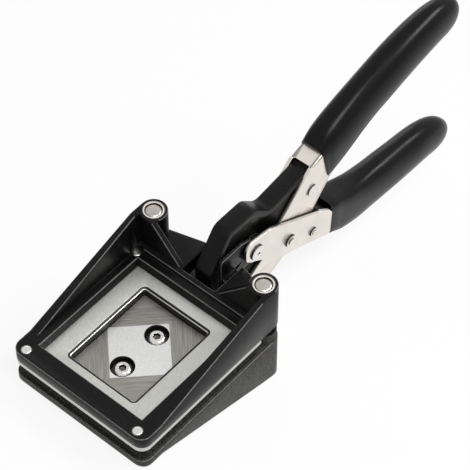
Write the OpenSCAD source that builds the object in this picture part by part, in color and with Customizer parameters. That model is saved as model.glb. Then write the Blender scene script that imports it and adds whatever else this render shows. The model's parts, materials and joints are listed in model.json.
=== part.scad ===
// Pliers-type die cutter for small prints. Squeezing the two handles pulls the upper jaw, with its
// die, down two guide posts and over a fixed punch.
//
// The pieces are drawn in the jaw's own frame: the origin is the middle of the die opening on the
// die's upper face, +X to the right, +Y back to the handles, +Z up from the die. At the end the
// whole tool is tilted onto the surface that it stands on.

/* [Print] */
// Width of the print that is cut
print_w = 35; // [30:0.5:38]
// Height of the print that is cut
print_h = 45; // [40:0.5:48]

/* [Jaws] */
// Width across both jaws
jaw_w = 71.6; // [71:0.2:78]
// Distance from the middle of the die to the front edge
jaw_front = 37.6; // [37:0.2:42]
// Radius of the two front corners
jaw_corner_r = 5; // [3:0.5:6.5]
// Height of the upper jaw's front plate above the die's upper face
plate_top = 4.3; // [3.5:0.1:6]
// Thickness of the upper jaw's front plate
plate_t = 6; // [5.2:0.1:7.5]
// Height of the upper jaw's rear floor above the die's upper face
rear_floor_top = 6; // [5:0.1:7.5]
// Slope of the jaws' side walls, in degrees
wedge_angle = 16.5; // [14:0.5:18]
// Length of the flat lip in front of the sloping walls
lip_l = 11.4; // [9:0.2:14]
// Thickness of the upper jaw's side walls at the top
wall_top_t = 2.6; // [2:0.1:3.2]
// Thickness of the upper jaw's side walls at the foot
wall_foot_t = 4.4; // [3.6:0.1:5]
// Height of the upper jaw's post bosses above the die's upper face
boss_top = 22.4; // [20:0.2:25]
// Radius of the post bosses
boss_r = 6.1; // [5.9:0.1:6.6]
// Width of the view window above the die
window_w = 53.8; // [51:0.2:55]
// Length of the view window above the die
window_l = 57.2; // [55:0.2:58]
// Half width of the notch in the upper jaw's rear
notch_half_w = 9; // [8.6:0.1:10]
// Depth of the base plate's upper face below the die's upper face
base_top_drop = 11; // [10.6:0.1:12.5]
// Thickness of the base plate
base_plate_t = 4; // [3:0.1:6]
// Thickness of the base's walls below the plate
base_wall_t = 3.6; // [2.5:0.1:5]

/* [Die and punch] */
// Thickness of the die plate below the upper jaw
die_flange_t = 2.4; // [1.8:0.1:2.8]
// Width of the bevel round the die opening
die_bevel_w = 1.2; // [0.6:0.1:2]
// Depth of the bevel round the die opening
die_bevel_depth = 0.8; // [0.4:0.1:1.2]
// Corner radius of the die opening
die_corner_r = 1; // [0.5:0.1:2]
// Gap between punch and die on each side
cut_clearance = 0.06; // [0.04:0.01:0.1]
// Depth of the punch's face below the die's upper face
punch_drop = 5; // [4.7:0.1:5.6]
// Half diagonal of the flat diamond on the punch
diamond_r = 18; // [15:0.5:20]
// Slope of the ground corners of the punch, in degrees
punch_shear = 1.8; // [0:0.1:2.2]
// Distance from the middle of the punch to each screw
punch_screw_y = 10.4; // [9:0.2:13]
// Thickness of the foam stripper pad
pad_t = 5.8; // [4.6:0.1:6]

/* [Posts and springs] */
// Distance of the guide posts behind the middle of the die
post_y = 42.6; // [42:0.2:46]
// Diameter of the guide posts
post_d = 6; // [5.4:0.1:6.2]
// Outer diameter of the guide bushes
bush_d = 9.1; // [8.4:0.1:9.8]
// Length of the guide bushes
bush_l = 12; // [8:0.5:13]
// Wire of the return springs
spring_wire = 1; // [0.7:0.05:1.1]
// Coils in each return spring
spring_turns = 6; // [4:1:7]
// Travel of the upper jaw down the posts
stroke = 4; // [3:0.1:4]

/* [Arm and handles] */
// Distance from the middle of the die to the end of the handles
handle_reach = 207; // [195:1:225]
// Width of the base arm's top flange
arm_w = 8.4; // [7:0.1:8.4]
// Depth of the recess in each side of the base arm
arm_recess = 0.5; // [0.2:0.1:1.6]
// Thickness of the base arm's top flange
arm_flange_t = 3.4; // [2.5:0.1:4]
// Sheet thickness of the upper handle's channel
channel_t = 1.6; // [1.2:0.1:2]
// Sheet thickness of the lower handle's side plates
lever_t = 1.8; // [1.4:0.1:2.4]
// Gap between the upper handle and the lower handle's side plates
side_gap = 0.3; // [0.3:0.05:0.5]
// Diameter of the pivot pin between the handles
pivot_d = 6; // [5:0.1:7]
// Diameter of the nose pin that drives the upper jaw
nose_pin_d = 5; // [4:0.1:5.6]
// Radius of the lower handle's nose
nose_r = 5.2; // [4.8:0.1:6]
// Diameter of the handle rivets
rivet_d = 4.4; // [3.6:0.1:5.2]

/* [Hidden] */
$fn = 64;
arc_steps = 6;
half_turn = 180;
past = 1;
run_clearance = 0.05;
slot_clearance = 0.1;
stop_clearance = 0.1;

// Heights in the jaw's frame
half_w = jaw_w / 2;
jaw_bottom = plate_top - plate_t;
die_bottom = jaw_bottom - die_flange_t;
base_top = -base_top_drop;
base_bottom = base_top - base_plate_t;
pad_top = base_top + pad_t;
base_boss_top = jaw_bottom - stroke - stop_clearance;
post_x = half_w - boss_r;
jaw_rear = post_y + boss_r;
wedge_start = lip_l - jaw_front;
wedge_slope = tan(wedge_angle);

// The surface that the tool stands on: a cut through the base's front edge and its rear edge
foot_cut = 0.5;
foot_front_z = base_bottom + foot_cut;
foot_rear_z = base_bottom - wedge_slope * (jaw_rear - wedge_start) + foot_cut;
foot_slope = (foot_front_z - foot_rear_z) / (jaw_rear + jaw_front);
tilt = atan(foot_slope);
die_height = -foot_z(0) * cos(tilt);
function foot_z(y) = foot_front_z - foot_slope * (y + jaw_front);
function wedge_z(y) = base_bottom - wedge_slope * (y - wedge_start);

// Joints, as [y, z] in the side view
pivot = [86.4, -8.8];
nose = [64.2, 4.6];
channel_rivet = [102.8, 8];
frame_rivets_at = [[58, -25.6], [71, -17.4]];
core_rivet = [102.2, -17.6];
nose_arm = nose - pivot;
lever_turn = atan2(nose_arm[1], -nose_arm[0]) + asin((stroke - nose_arm[1]) / norm(nose_arm));
nose_travel = turned(nose_arm, lever_turn) - nose_arm;

// Half widths across the handles
arm_web_t = arm_w - 2 * arm_recess;
channel_in = arm_w / 2;
channel_out = channel_in + channel_t;
lever_in = channel_out + side_gap;
lever_out = lever_in + lever_t;
lug_in = arm_web_t / 2 + side_gap;
lug_skin_in = arm_w / 2 + side_gap;

// Vector helpers
function unit(v) = v / norm(v);
function flat(p) = [p[0], p[1]];
function turned(v, a) = [v[0] * cos(a) - v[1] * sin(a), v[0] * sin(a) + v[1] * cos(a)];

// Points of one rounded corner p between its neighbours a and b
function corner_arc(a, p, b, r) =
    r == 0 ? [p] :
    let (
        u = unit(a - p),
        v = unit(b - p),
        half = acos(u * v) / 2,
        centre = p + unit(u + v) * r / sin(half),
        start = p + u * r / tan(half) - centre,
        stop = p + v * r / tan(half) - centre,
        from = atan2(start[1], start[0]),
        turn = (atan2(stop[1], stop[0]) - from + 3 * half_turn) % (2 * half_turn) - half_turn
    )
    [for (k = [0 : arc_steps]) centre + turned([r, 0], from + turn * k / arc_steps)];

// Points of a closed outline whose corners are [x, y, radius]
function rounded(corners) =
    let (n = len(corners))
    [
        for (i = [0 : n - 1])
            let (p = corners[i])
            each corner_arc(flat(corners[(i + n - 1) % n]), flat(p), flat(corners[(i + 1) % n]), p[2])
    ];

// Corners of the same outline, drawn anticlockwise, moved inwards by d
function inset(corners, d) =
    let (n = len(corners))
    [
        for (i = [0 : n - 1])
            let (
                p = flat(corners[i]),
                u = unit(flat(corners[(i + n - 1) % n]) - p),
                v = unit(flat(corners[(i + 1) % n]) - p),
                side = sign(cross(-u, v)),
                moved = p + unit(u + v) * side * d / sin(acos(u * v) / 2)
            )
            [moved[0], moved[1], max(corners[i][2] - side * d, 0)]
    ];

// The right half of an outline, closed by its mirror image on the left
function mirrored(corners) =
    concat(corners, [for (i = [len(corners) - 1 : -1 : 0]) [-corners[i][0], corners[i][1], corners[i][2]]]);

// Corners of a rectangle in the plan view
function plan_box(half_x, front, rear, r) = mirrored([[half_x, front, r], [half_x, rear, r]]);

// Solid of a side view outline (y, z) between two values of x
module side_plate(points, from, to) {
    translate([from, 0, 0])
        rotate([90, 0, 90])
            linear_extrude(to - from)
                polygon(points);
}

// Solid of a front view outline (x, z) between two values of y
module front_plate(points, from, to) {
    translate([0, to, 0])
        rotate([90, 0, 0])
            linear_extrude(to - from)
                polygon(points);
}

// Solid of a plan view outline (x, y) between two heights
module plan_plate(points, from, to) {
    translate([0, 0, from])
        linear_extrude(to - from)
            polygon(points);
}

// Upright cylinder between two heights
module column(x, y, r, from, to) {
    translate([x, y, from])
        cylinder(r = r, h = to - from);
}

// Cylinder across the tool at a point [y, z] of the side view
module cross_pin(at, r, from, to) {
    translate([from, at[0], at[1]])
        rotate([0, 90, 0])
            cylinder(r = r, h = to - from);
}

// Rivet across the tool with a low domed head on each end
dome_share = 0.6;
module cross_rivet(at, r, half_l, head_r, head_h) {
    cross_pin(at, r, -half_l, half_l);
    for (side = [0, 1])
        mirror([side, 0, 0])
            translate([half_l, at[0], at[1]])
                rotate([0, 90, 0])
                    cylinder(r1 = head_r, r2 = head_r * dome_share, h = head_h);
}

// Closed skin of triangles through rings of points
module skin(rings) {
    n = len(rings[0]);
    last = len(rings) - 1;
    walls = [
        for (i = [0 : last - 1])
            for (k = [0 : n - 1])
                let (a = i * n + k, b = i * n + (k + 1) % n)
                each [[a, a + n, b + n], [a, b + n, b]]
    ];
    first_cap = [for (k = [1 : n - 2]) [0, k, k + 1]];
    last_cap = [for (k = [1 : n - 2]) [last * n, last * n + k + 1, last * n + k]];
    polyhedron([for (ring = rings) each ring], concat(walls, first_cap, last_cap));
}

// Copies of the children on the left and on the right
module both_sides() {
    for (side = [0, 1])
        mirror([side, 0, 0])
            children();
}

// Stands the tool, drawn in the jaw's frame, on its base
module standing() {
    translate([0, 0, die_height])
        rotate([tilt, 0, 0])
            children();
}

// Plan outlines of the two jaws
rear_edge_from = 1.6;
rib_t = 2.4;
rib_rear = 53.5;
notch_front = 36.5;
rear_floor_front = 33.9;
base_plan = mirrored([[half_w, -jaw_front, jaw_corner_r], [half_w, jaw_rear, boss_r]]);
jaw_plan = mirrored([
    [half_w, -jaw_front, jaw_corner_r],
    [half_w, jaw_rear, boss_r],
    [post_x - rear_edge_from, jaw_rear, 2],
    [notch_half_w + rib_t, rib_rear, 1],
    [notch_half_w, rib_rear, 0],
    [notch_half_w, notch_front, 1]
]);

// Die rivets, as [x, y]
die_rivet_d = 4;
die_rivet_side = 5.7;
die_rivet_edge = 3.5;
die_rivet_room = 0.8;
die_rivet_x = half_w - die_rivet_side;
die_rivets_y = [die_rivet_edge - jaw_front, 31.8];

// The die plate's raised middle, which sits in a recess under the upper jaw
island_margin = 3;
island_clearance = 0.1;
island_corner_r = 2;
window_middle_y = 0.5;
island_half_x = window_w / 2 + island_margin;
island_front = window_middle_y - window_l / 2 - island_margin;
island_rear = window_middle_y + window_l / 2 + island_margin;
die_plate_inset = 0.3;
die_plate_rear = 35;

// Side view of the base arm: stem, hump over the nose pin, dip and tail
stem_front = 39;
arm_under = [
    [stem_front, base_top - base_plate_t / 2, 0],
    [48, base_top - base_plate_t / 2, 0],
    [52, -25, 0],
    [66, -14, 0],
    [72, -8.5, 2],
    [84, 4.6, 3],
    [102, 19, 0]
];
arm_tail = [102, 20.6, 0];
arm_crest = [
    [76.6, 17.2, 6],
    [67.6, 25.5, 6],
    [51.2, 25.5, 5],
    [stem_front, 9, 3]
];
arm_corners = concat(arm_under, [arm_tail], arm_crest);
// The part of the arm that fills the space between the upper handle's flanges
cheek_corners = [
    [44, -27, 0],
    [50.5, -34, 2],
    [77, -22.6, 4],
    [102, -6.4, 4],
    [111, 4, 2],
    [104.6, 21.2, 1],
    [101.6, 20.4, 2],
    [83, 4.6, 4],
    [71, -8.6, 4],
    [62, -15, 4]
];

// The grips and what is inside them are drawn for one reach, and stretch with the handles behind
// the mouth of the upper grip
grip_start = 111.8;
drawn_reach = 207;
grip_stretch = (handle_reach - grip_start) / (drawn_reach - grip_start);
function reached_y(y) = y > grip_start ? grip_start + (y - grip_start) * grip_stretch : y;
function reached(points) =
    [for (p = points) [for (i = [0 : len(p) - 1]) i == 0 ? reached_y(p[0]) : p[i]]];

// Side view of the upper handle's flanges, from the base's rear lug to the inside of the grip
channel_corners = reached([
    [50, -35, 3],
    [76.6, -23.1, 12],
    [83.3, -19.9, 12],
    [102.6, -7, 8],
    [116.4, 8.2, 6],
    [128, 18, 20],
    [150, 24, 20],
    [162, 27, 3],
    [160, 40, 3],
    [130, 31.6, 30],
    [112, 25.6, 30],
    [101.4, 22.4, 2],
    [82.3, 5.2, 10],
    [70.9, -8, 8],
    [62, -14, 10],
    [50, -22, 3]
]);
// Side view of the web along the top of the channel
channel_web_corners = reached([
    [102.8, 21.1, 0],
    [112.4, 24, 0],
    [130.4, 30, 0],
    [156.4, 37.4, 0],
    [156, 38.9, 0],
    [130, 31.6, 30],
    [112, 25.6, 30],
    [102.4, 22.7, 0]
]);

// Side view of the lower handle's plates, its tongue and its tang
lever_corners = [
    [68.1, -4.3, 2],
    [80, -14.6, 10],
    [88, -17.2, 20],
    [114.3, -29.9, 1.5],
    [115.2, -16.1, 1],
    [113.1, -12.7, 1],
    [107.1, -8, 0.6],
    [106.2, -8.2, 0.4],
    [80, 7.2, 6],
    [74, 11, 4],
    [62, 13.4, 3],
    [57.6, 11.6, 4],
    [57.6, 3.4, 4]
];
tongue_corners = [
    [98.4, -21, 2],
    [113, -26.4, 0],
    [113.8, -14, 0],
    [107.5, -9.4, 1],
    [104.5, -10, 2],
    [98.4, -13.6, 2]
];
tang_corners = reached([
    [111, -26, 0],
    [124, -33.4, 10],
    [148, -39.6, 30],
    [176, -42.8, 30],
    [186, -43.8, 3],
    [186, -32.4, 3],
    [176, -31.2, 30],
    [150, -27.8, 30],
    [128, -22.6, 20],
    [112, -16, 0]
]);
tang_half_w = 4.5;
// Side views of the spaces in front of the grips' mouths
upper_mouth_cut = [[90, 0], [115.5, 0], [105.8, 40], [90, 40]];
lower_mouth_cut = [[90, -40], [113.8, -40], [116.4, 0], [90, 0]];

// Stations of the grips, as [y, z, half height, half width]
upper_grip_path = reached([
    [104, 12.7, 11.4, 7.8],
    [grip_start, 16.6, 11.8, 8],
    [117, 19.2, 12.4, 8.3],
    [124, 22.5, 12.4, 8.3],
    [133, 26, 12.1, 8.1],
    [142, 28.9, 12, 8],
    [152, 31.4, 12, 8],
    [162, 33.8, 11.9, 8],
    [172, 35.7, 11.7, 7.8],
    [182, 36.9, 11.3, 7.5],
    [190, 37.1, 10.7, 7.1],
    [196.5, 36.2, 9.8, 6.5],
    [201.4, 34.9, 8, 5.4],
    [204.2, 33.9, 5.4, 3.8],
    [205.6, 33.4, 2.4, 1.8]
]);
lower_grip_path = reached([
    [105, -16.6, 8.6, 7.8],
    [111.6, -20.2, 9, 7.9],
    [116, -22.5, 9.4, 7.9],
    [121, -25.2, 10, 7.8],
    [127, -28.2, 10.8, 7.8],
    [137, -31.7, 11.5, 7.8],
    [148, -33.6, 11.5, 7.7],
    [160, -35.1, 11.5, 7.7],
    [171, -36.5, 11.4, 7.6],
    [182, -37.5, 11.1, 7.4],
    [190, -38.7, 10.6, 7],
    [197, -40.7, 9.8, 6.5],
    [202.4, -42.9, 8, 5.4],
    [206, -44.8, 5.4, 3.8],
    [207.4, -45.6, 2.4, 1.8]
]);
grip_sides = 24;

// One oval ring of a grip at station i, square to the path
function grip_ring(path, i) =
    let (
        a = flat(path[max(i - 1, 0)]),
        b = flat(path[min(i + 1, len(path) - 1)]),
        along = unit(b - a),
        up = turned(along, 90),
        p = path[i]
    )
    [
        for (k = [0 : grip_sides - 1])
            let (angle = 360 * k / grip_sides, side = flat(p) + up * p[2] * sin(angle))
            [p[3] * cos(angle), side[0], side[1]]
    ];
module grip_body(path) {
    skin([for (i = [0 : len(path) - 1]) grip_ring(path, i)]);
}

// Centre line of a return spring: a straight foot, the coils, and a straight end
spring_rings_per_turn = 8;
spring_sides = 6;
spring_in_clearance = 0.4;
spring_out_clearance = 0.5;
spring_r = post_d / 2 + spring_in_clearance + spring_wire / 2;
spring_pocket_r = spring_r + spring_wire / 2 + spring_out_clearance;
spring_foot_z = base_boss_top;
spring_end_z = boss_top - bush_l - stop_clearance;
spring_rings = spring_turns * spring_rings_per_turn;
spring_rise = (spring_end_z - spring_foot_z - 2 * spring_wire) / spring_rings;
function spring_at(angle, z) = [spring_r * cos(angle), spring_r * sin(angle), z];
spring_line = concat(
    [spring_at(0, spring_foot_z)],
    [
        for (i = [0 : spring_rings])
            spring_at(360 * i / spring_rings_per_turn, spring_foot_z + spring_wire + i * spring_rise)
    ],
    [spring_at(360 * spring_turns, spring_end_z)]
);
spring_gap = min([
    for (i = [1 : len(spring_line) - 2])
        for (j = [i + spring_rings_per_turn - 2 : 1 : len(spring_line) - 2])
            norm(spring_line[i] - spring_line[j]) - spring_wire
]);
echo(spring_gap = spring_gap);

// Directions along the spring's line, which is straight at both ends
function spring_dir(i) =
    i == 0 || i == len(spring_line) - 1 ? [0, 0, 1] :
    unit(unit(spring_line[i + 1] - spring_line[i]) + unit(spring_line[i] - spring_line[i - 1]));

// One ring of wire round point i of the spring's line
function spring_ring(i) =
    let (
        p = spring_line[i],
        out = unit([p[0], p[1], 0]),
        along = spring_dir(i),
        across = unit(cross(along, out))
    )
    [
        for (k = [0 : spring_sides - 1])
            let (angle = 360 * k / spring_sides)
            p + spring_wire / 2 * (out * cos(angle) + across * sin(angle))
    ];

foot_meets_wedge =
    (wedge_slope * wedge_start + foot_slope * jaw_front - foot_cut) / (wedge_slope - foot_slope);
// Side walls of the base below its plate, between the plate and the surface that it stands on
base_side = [
    [-jaw_front - past, base_top],
    [-jaw_front - past, foot_z(-jaw_front - past)],
    [-jaw_front + foot_cut / foot_slope, base_bottom],
    [wedge_start, base_bottom],
    [foot_meets_wedge, wedge_z(foot_meets_wedge)],
    [jaw_rear + past, foot_z(jaw_rear + past)],
    [jaw_rear + past, base_top]
];
pedestal_rear = 26;
pedestal_side = [
    [-jaw_front, base_top],
    [-jaw_front, foot_z(-jaw_front)],
    [jaw_rear, foot_z(jaw_rear)],
    [jaw_rear, base_top]
];
pocket_extra = 20;
pocket_floor = foot_rear_z - pocket_extra;

// Stem, hump and tail of the base's arm
module base_arm() {
    inner = inset(arm_corners, arm_flange_t);
    last = len(arm_corners) - 1;
    inner_crest = [for (i = [last : -1 : len(arm_corners) - len(arm_crest)]) inner[i]];
    foot = arm_under[0];
    under_tail = arm_under[len(arm_under) - 1];
    flange = concat(
        [arm_tail],
        arm_crest,
        [foot],
        [[inner[last][0], foot[1], 0]],
        inner_crest,
        [[under_tail[0], under_tail[1] - arm_flange_t / 2, 0]]
    );
    difference() {
        union() {
            side_plate(rounded(arm_corners), -arm_web_t / 2, arm_web_t / 2);
            side_plate(rounded(flange), -arm_w / 2, arm_w / 2);
            side_plate(rounded(cheek_corners), -channel_in, channel_in);
        }
        nose_window();
        cross_pin(pivot, pivot_d / 2, -lever_out, lever_out);
        for (at = concat(frame_rivets_at, [channel_rivet]))
            cross_pin(at, rivet_d / 2, -lever_out, lever_out);
    }
}

// Room for the nose pin's travel through the arm's web
nose_room = 0.8;
nose_window_round = 0.9;
module nose_window() {
    half = nose_pin_d / 2 + nose_room;
    ahead = unit(nose_travel) * half;
    side = turned(ahead, 90);
    far_end = nose + nose_travel + ahead;
    near_end = nose - ahead;
    corners = [near_end + side, near_end - side, far_end - side, far_end + side];
    side_plate(rounded([for (p = corners) [p[0], p[1], half * nose_window_round]]), -arm_w, arm_w);
}

// Base casting: plate, walls, pedestal, post bosses, a tab under the upper jaw's notch, and the arm
module base_frame() {
    post_foot = base_boss_top - post_seat_l;
    color("dimgray")
    standing()
    difference() {
        union() {
            intersection() {
                side_plate(base_side, -half_w - past, half_w + past);
                difference() {
                    plan_plate(rounded(base_plan), pocket_floor, base_top);
                    difference() {
                        plan_plate(rounded(inset(base_plan, base_wall_t)), pocket_floor - past, base_bottom);
                        both_sides()
                            column(post_x, post_y, boss_r, pocket_floor - past, base_bottom + past);
                    }
                }
            }
            intersection() {
                plan_plate(rounded(pedestal_plan), pocket_floor, base_top);
                side_plate(pedestal_side, -half_w, half_w);
            }
            both_sides()
                column(post_x, post_y, base_boss_r, base_top - past, base_boss_top);
            plan_plate(rounded(rear_tab_plan), base_bottom, base_top);
            base_arm();
        }
        both_sides()
            column(post_x, post_y, post_d / 2, post_foot, base_boss_top + past);
        for (y = [-punch_screw_y, punch_screw_y])
            column(0, y, screw_d / 2 + run_clearance, base_top - screw_l, base_top + past);
    }
}
post_seat_l = 14;
base_boss_step = 0.4;
base_boss_r = boss_r - base_boss_step;
pedestal_inset = 1;
pedestal_corner_r = 2;
rear_tab_corner_r = 2;
rear_tab_plan = plan_box(2 * notch_half_w, post_y, rib_rear, rear_tab_corner_r);
pedestal_plan =
    plan_box(print_w / 2 - pedestal_inset, pedestal_inset - print_h / 2, pedestal_rear, pedestal_corner_r);

// Guide post with a chamfered upper end, pressed into the base
post_drop = 0.3;
module guide_post() {
    chamfer = 0.5;
    top = boss_top - post_drop;
    color("silver")
    standing() {
        column(post_x, post_y, post_d / 2, base_boss_top - post_seat_l, top - chamfer);
        translate([post_x, post_y, top - chamfer])
            cylinder(r1 = post_d / 2, r2 = post_d / 2 - chamfer, h = chamfer);
    }
}
module guide_post_right() guide_post();
module guide_post_left() mirror([1, 0, 0]) guide_post();

// Return spring on a guide post
module post_spring() {
    color("gainsboro")
    standing()
        translate([post_x, post_y, 0])
            skin([for (i = [0 : len(spring_line) - 1]) spring_ring(i)]);
}
module post_spring_right() post_spring();
module post_spring_left() mirror([1, 0, 0]) post_spring();

// Punch: a block as large as the print, with a flat diamond and four ground corners
screw_d = 5;
screw_l = 9;
screw_head_d = 9.5;
screw_head_h = 2.7;
screw_sink = 3.4;
screw_sink_room = 0.9;
screw_sink_d = screw_head_d + screw_sink_room;
screw_hex_af = 3;
screw_hex_depth = 1.7;
screw_dome_h = 1.6;
punch_plan = plan_box(print_w / 2 - cut_clearance, -print_h / 2 + cut_clearance,
    print_h / 2 - cut_clearance, die_corner_r - cut_clearance);
module punch_block() {
    corner_rise = ((print_w + print_h) / 2 - diamond_r) / sqrt(2) * tan(punch_shear);
    color("darkgray")
    standing()
    difference() {
        plan_plate(rounded(punch_plan), base_top, -punch_drop + corner_rise);
        translate([0, 0, -punch_drop])
            ground_corners(corner_rise + past);
        for (y = [-punch_screw_y, punch_screw_y]) {
            column(0, y, screw_d / 2 + run_clearance, base_top - past, 0);
            column(0, y, screw_sink_d / 2, -punch_drop - screw_sink, 0);
        }
    }
}

// The space above the punch: a flat diamond that widens upwards along the ground corners
module ground_corners(h) {
    spread = punch_shear > 0 ? h * sqrt(2) / tan(punch_shear) : print_w + print_h;
    cylinder(r1 = diamond_r, r2 = diamond_r + spread, h = h, $fn = 4);
}

// Button-head screws with a hexagon socket, which hold the punch
module punch_screws() {
    seat = -punch_drop - screw_sink;
    color("whitesmoke")
    standing()
    for (y = [-punch_screw_y, punch_screw_y])
        translate([0, y, seat])
            difference() {
                union() {
                    translate([0, 0, base_top - screw_l - seat])
                        cylinder(d = screw_d, h = seat - base_top + screw_l);
                    cylinder(d = screw_head_d, h = screw_head_h - screw_dome_h);
                    translate([0, 0, screw_head_h - screw_dome_h])
                        cylinder(d1 = screw_head_d, d2 = screw_head_d * dome_share, h = screw_dome_h);
                }
                translate([0, 0, screw_head_h - screw_hex_depth])
                    cylinder(d = screw_hex_af / cos(30), h = screw_hex_depth + past, $fn = 6);
            }
}

// Foam pad round the punch, which lifts the cut sheet off it
pad_inset = 1.2;
pad_rear = 33.5;
pad_hole_clearance = 1;
module stripper_pad() {
    hole = inset(punch_plan, -pad_hole_clearance);
    color("black")
    standing()
    difference() {
        plan_plate(rounded(inset(
            mirrored([[half_w, -jaw_front, jaw_corner_r], [half_w, pad_rear + pad_inset, 2]]), pad_inset)),
            base_top, pad_top);
        plan_plate(rounded(hole), base_top - past, pad_top + past);
    }
}

// Upper handle: a channel whose flanges run down to the base's rear lug
module channel_shape() {
    both_sides()
        side_plate(rounded(channel_corners), channel_in, channel_out);
    side_plate(rounded(channel_web_corners), -channel_in, channel_in);
}
module upper_handle() {
    color("linen")
    standing()
    difference() {
        channel_shape();
        cross_pin(pivot, pivot_d / 2, -lever_out, lever_out);
        for (at = concat(frame_rivets_at, [channel_rivet]))
            cross_pin(at, rivet_d / 2, -lever_out, lever_out);
    }
}
module upper_grip() {
    color("black")
    standing()
    difference() {
        grip_body(upper_grip_path);
        side_plate(upper_mouth_cut, -jaw_w, jaw_w);
        channel_shape();
        side_plate(rounded(cheek_corners), -channel_in, channel_in);
        handle_rivet_shape();
    }
}

// Rivets and the pivot pin that the fixed frame carries
rivet_head_out = 0.6;
rivet_head_h = 0.5;
module handle_rivet_shape() {
    cross_rivet(channel_rivet, rivet_d / 2, channel_out, rivet_d / 2 + rivet_head_out, rivet_head_h);
}
module handle_rivet() {
    color("linen")
    standing()
        handle_rivet_shape();
}
module frame_rivets() {
    color("linen")
    standing()
        for (at = frame_rivets_at)
            cross_pin(at, rivet_d / 2, -channel_out, channel_out);
}
pivot_step = 0.8;
module pivot_pin() {
    head_l = 0.7;
    tip_l = 1.5;
    head_from = lever_out + stop_clearance;
    color("silver")
    standing() {
        cross_pin(pivot, pivot_d / 2, -head_from, head_from);
        both_sides() {
            cross_pin(pivot, pivot_d / 2 + pivot_step, head_from, head_from + head_l);
            cross_pin(pivot, pivot_d / 2 - pivot_step, lever_out, head_from + tip_l);
        }
    }
}

// Upper jaw casting: plate with a window, sloping side walls, post bosses, gussets and rear lugs
lug_r = 7;
lug_corners = [
    [44, -4, 0],
    [nose[0], nose[1] - lug_r, 0],
    [nose[0] + 4.6, nose[1] + 5.2, 0],
    [57.6, 14.2, 4],
    [44, 14.2, 2]
];
bridge_front = 44.6;
bridge_rear = rib_rear - 0.6;
bridge_top = 3;
bridge_outline = [
    [bridge_front, jaw_bottom],
    [bridge_rear, jaw_bottom],
    [bridge_rear, bridge_top],
    [bridge_front, bridge_top]
];
gusset_t = 2.5;
gusset_top_x = 25.2;
gusset_foot_x = notch_half_w + rib_t * 2 / 3;
wall_flat_y = wedge_start + (boss_top - plate_top) / wedge_slope;
module jaw_wall() {
    intersection() {
        side_plate([
            [wedge_start, jaw_bottom],
            [wedge_start, plate_top],
            [wall_flat_y, boss_top],
            [post_y, boss_top],
            [post_y, jaw_bottom]
        ], 0, half_w);
        front_plate([
            [half_w - wall_foot_t, jaw_bottom],
            [half_w, jaw_bottom],
            [half_w, boss_top + past],
            [half_w - wall_top_t, boss_top + past],
            [half_w - wall_foot_t, plate_top]
        ], -jaw_front, post_y);
    }
}
module jaw_gusset() {
    front = post_y - boss_r;
    front_plate([
        [notch_half_w, jaw_bottom],
        [post_x, jaw_bottom],
        [post_x, boss_top],
        [gusset_top_x, boss_top],
        [gusset_foot_x, rear_floor_top],
        [notch_half_w, rear_floor_top]
    ], front, front + gusset_t);
}

// Rear lug of the upper jaw, with a slot for the nose pin
module jaw_lug() {
    slot_r = nose_pin_d / 2 + slot_clearance;
    slot_end = nose + [nose_travel[0], 0];
    side_plate(bridge_outline, lug_skin_in, notch_half_w + past);
    difference() {
        union() {
            side_plate(rounded(lug_corners), lug_skin_in, channel_out);
            cross_pin(nose, lug_r, lug_in, channel_out);
        }
        cross_pin(nose, slot_r, 0, lever_out);
        cross_pin(slot_end, slot_r, 0, lever_out);
        side_plate([
            nose - [0, slot_r],
            nose + [0, slot_r],
            slot_end + [0, slot_r],
            slot_end - [0, slot_r]
        ], 0, lever_out);
    }
}
window_draft = 0.95;
module window_space() {
    half_x = window_w / 2;
    front = window_middle_y - window_l / 2;
    rear = window_middle_y + window_l / 2;
    lift = plate_top + past;
    wide = window_draft * lift / plate_top;
    intersection() {
        front_plate([[-half_x, 0], [half_x, 0], [half_x + wide, lift], [-half_x - wide, lift]],
            -jaw_front, post_y);
        side_plate([[front, 0], [rear, 0], [rear + wide, lift], [front - wide, lift]], -half_w, half_w);
    }
    plan_plate(rounded(plan_box(half_x, front, rear, 0)), jaw_bottom - past, past / 2);
}
module upper_jaw() {
    color("dimgray")
    standing()
    difference() {
        union() {
            plan_plate(rounded(jaw_plan), jaw_bottom, plate_top);
            intersection() {
                plan_plate(rounded(jaw_plan), jaw_bottom, rear_floor_top);
                translate([-half_w, rear_floor_front, jaw_bottom])
                    cube([jaw_w, rib_rear, rear_floor_top - jaw_bottom]);
            }
            both_sides() {
                jaw_wall();
                jaw_gusset();
                jaw_lug();
                column(post_x, post_y, boss_r, jaw_bottom, boss_top);
            }
        }
        window_space();
        plan_plate(rounded(plan_box(island_half_x + island_clearance, island_front - island_clearance,
            island_rear + island_clearance, island_corner_r)), jaw_bottom - past, 0);
        both_sides() {
            column(post_x, post_y, spring_pocket_r, jaw_bottom - past, boss_top - bush_l);
            column(post_x, post_y, bush_d / 2, boss_top - bush_l, boss_top + past);
            for (y = die_rivets_y) {
                column(die_rivet_x, y, die_rivet_d / 2, jaw_bottom - past, boss_top);
                column(die_rivet_x, y, die_rivet_d / 2 + die_rivet_room, plate_top, boss_top);
            }
        }
    }
}

// Die plate under the upper jaw, with a bevelled opening as large as the print
module die_plate() {
    flange = inset(mirrored([
        [half_w, -jaw_front, jaw_corner_r],
        [half_w, die_plate_rear + die_plate_inset, 1]
    ]), die_plate_inset);
    color("lightgray")
    standing()
    difference() {
        union() {
            plan_plate(rounded(flange), die_bottom, jaw_bottom);
            plan_plate(rounded(plan_box(island_half_x, island_front, island_rear, island_corner_r)),
                jaw_bottom, 0);
        }
        plan_plate(rounded(plan_box(print_w / 2, -print_h / 2, print_h / 2, die_corner_r)),
            die_bottom - past, past);
        die_bevel();
        both_sides()
            for (y = die_rivets_y)
                column(die_rivet_x, y, die_rivet_d / 2, die_bottom - past, past);
    }
}

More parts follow.
